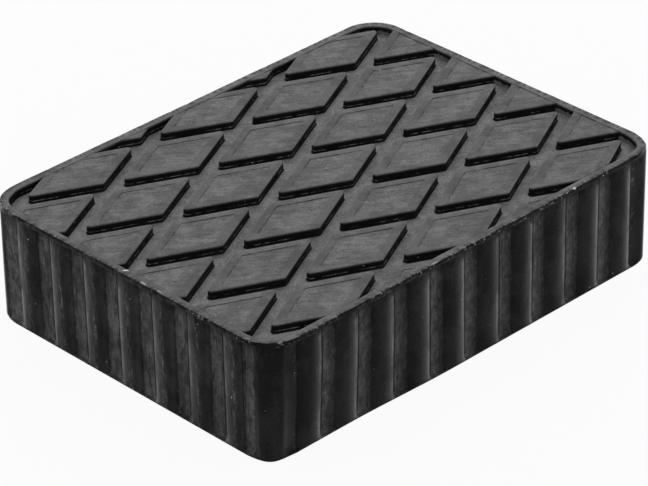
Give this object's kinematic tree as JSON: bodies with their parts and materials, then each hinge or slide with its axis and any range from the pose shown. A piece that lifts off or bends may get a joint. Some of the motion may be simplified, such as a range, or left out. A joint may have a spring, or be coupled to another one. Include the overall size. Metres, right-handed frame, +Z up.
{
  "type": "lift arm rubber pad",
  "caption": "Rectangular rubber support block for a vehicle lift arm, with a raised diamond tread on top, a flat rim and upright ribs round its sides.",
  "frame": {"origin": "centre of the flat underside", "axes": "+X along the pad's length, +Y across its width, +Z up towards the tread"},
  "size_m": [0.16, 0.12, 0.038],
  "materials": {
    "rubber": "matte moulded black rubber"
  },
  "bodies": {
    "root": {"pad": "rubber"}
  },
  "joints": []
}
